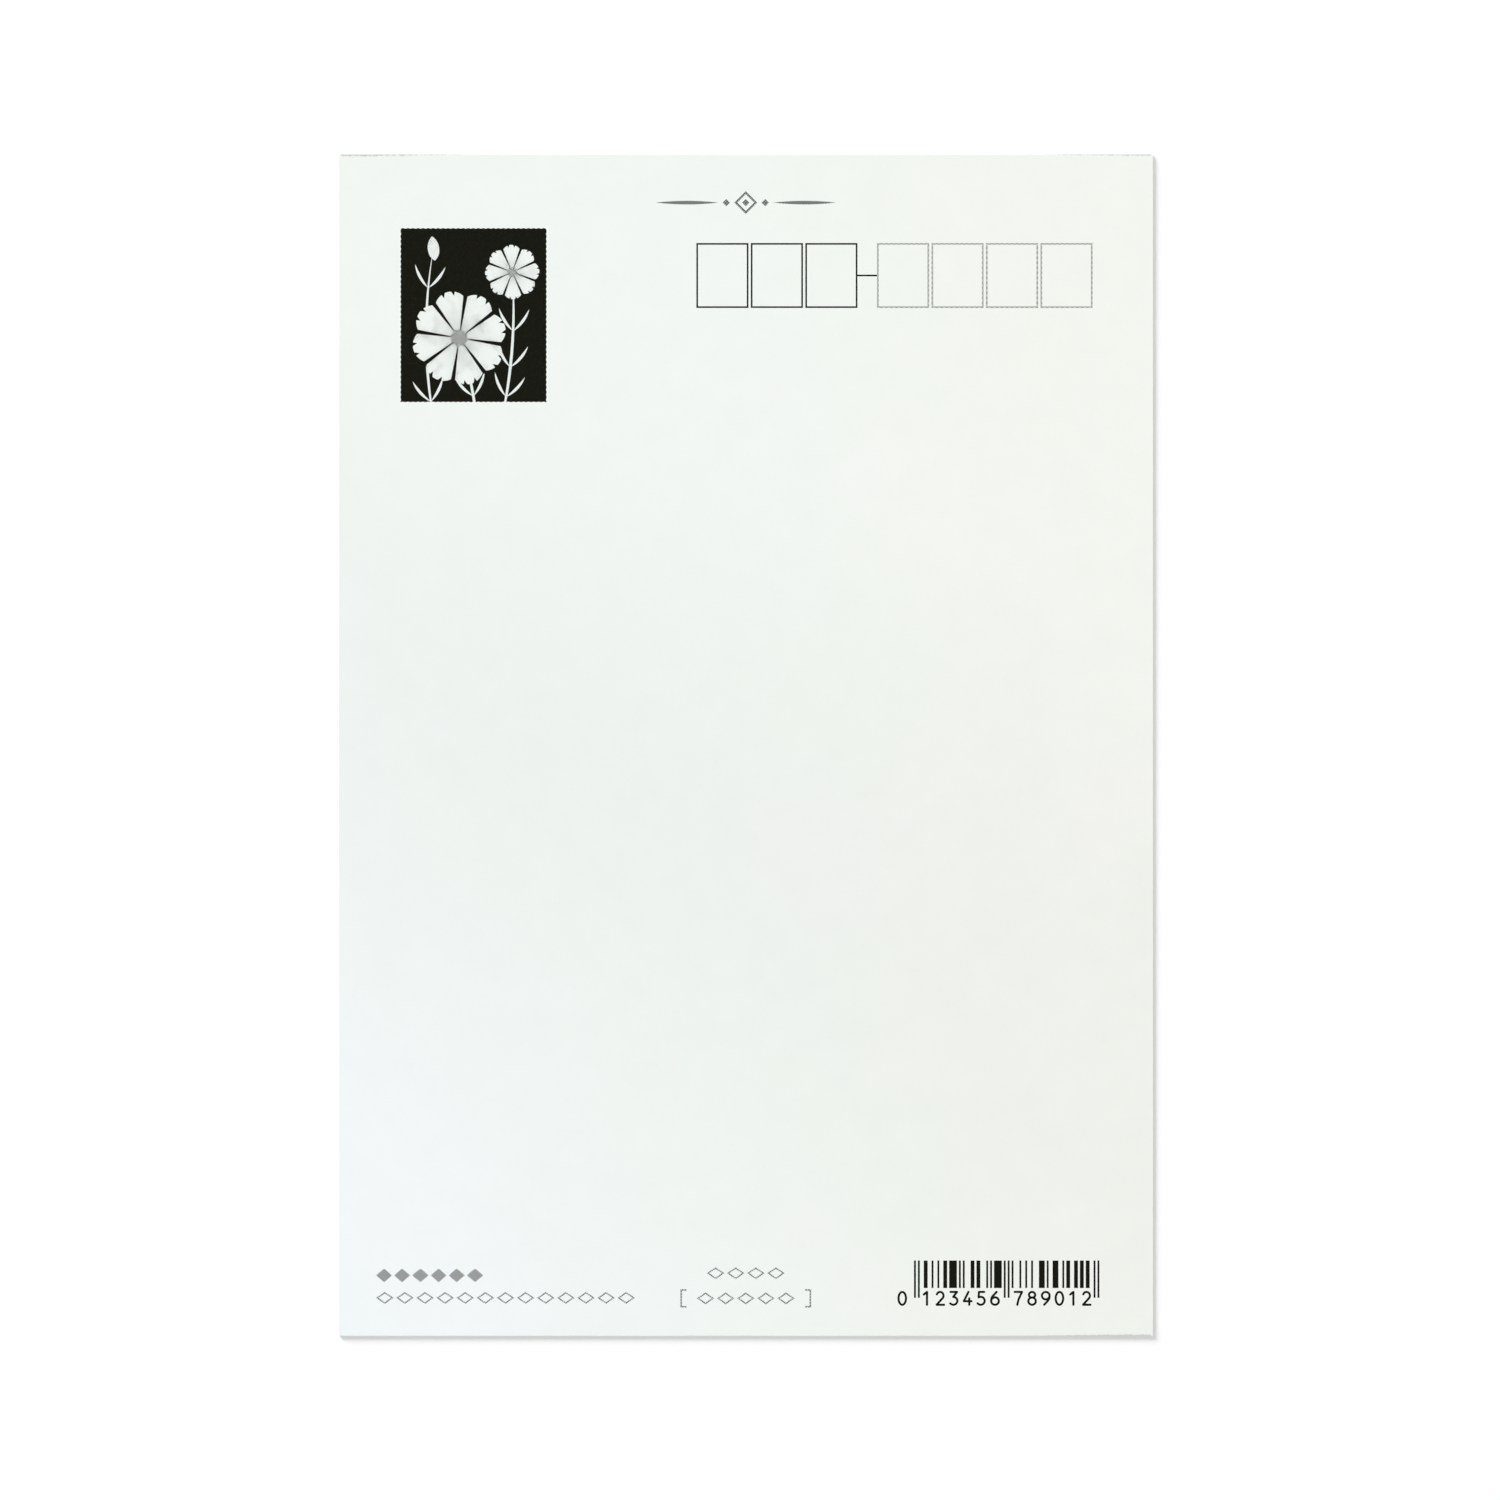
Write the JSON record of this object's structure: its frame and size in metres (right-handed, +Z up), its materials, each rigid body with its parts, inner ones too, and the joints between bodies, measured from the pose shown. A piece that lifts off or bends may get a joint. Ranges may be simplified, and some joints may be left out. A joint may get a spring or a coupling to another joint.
{
  "type": "picture postcard",
  "caption": "Flat coated paper card with postal-code boxes, a small vignette and a barcode on its address side, and a full-bleed flower picture under clear varnish on the other.",
  "frame": {"origin": "middle of the card's underside, the varnished picture face that it lies on", "axes": "+X across the card as its address side is read, +Y towards its top edge, +Z up out of the address side"},
  "size_m": [0.102, 0.148, 0.0003],
  "materials": {
    "clear_varnish": "gloss, clear",
    "picture_coat": "satin",
    "board_paper": "matte, fibrous",
    "core_paper": "matte, fibrous",
    "address_coat": "matte",
    "night_blue_ink": "gloss",
    "ivory_ink": "gloss",
    "golden_ink": "gloss",
    "leaf_green_ink": "gloss",
    "black_ink": "satin",
    "pale_tint_ink": "satin",
    "grey_ink": "satin",
    "light_grey_ink": "satin",
    "heading_grey_ink": "satin"
  },
  "bodies": {
    "root": {"picture_varnish": "clear_varnish", "picture_coating": "picture_coat", "back_ply": "board_paper", "core_ply": "core_paper", "front_ply": "board_paper", "address_coating": "address_coat", "picture_ground": "night_blue_ink", "picture_petals": "ivory_ink", "picture_hearts": "golden_ink", "picture_leaves": "leaf_green_ink", "vignette_ground": "black_ink", "vignette_petals": "pale_tint_ink", "vignette_hearts": "grey_ink", "vignette_leaves": "light_grey_ink", "heading_ornament": "heading_grey_ink", "code_link": "black_ink", "barcode_bars": "black_ink", "corner_row_bold": "light_grey_ink", "corner_row_light": "light_grey_ink", "centre_row_upper": "light_grey_ink", "centre_row_lower": "light_grey_ink", "code_frame_1": "black_ink", "code_frame_2": "black_ink", "code_frame_3": "black_ink", "code_frame_4": "grey_ink", "code_frame_5": "grey_ink", "code_frame_6": "grey_ink", "code_frame_7": "grey_ink"}
  },
  "joints": []
}
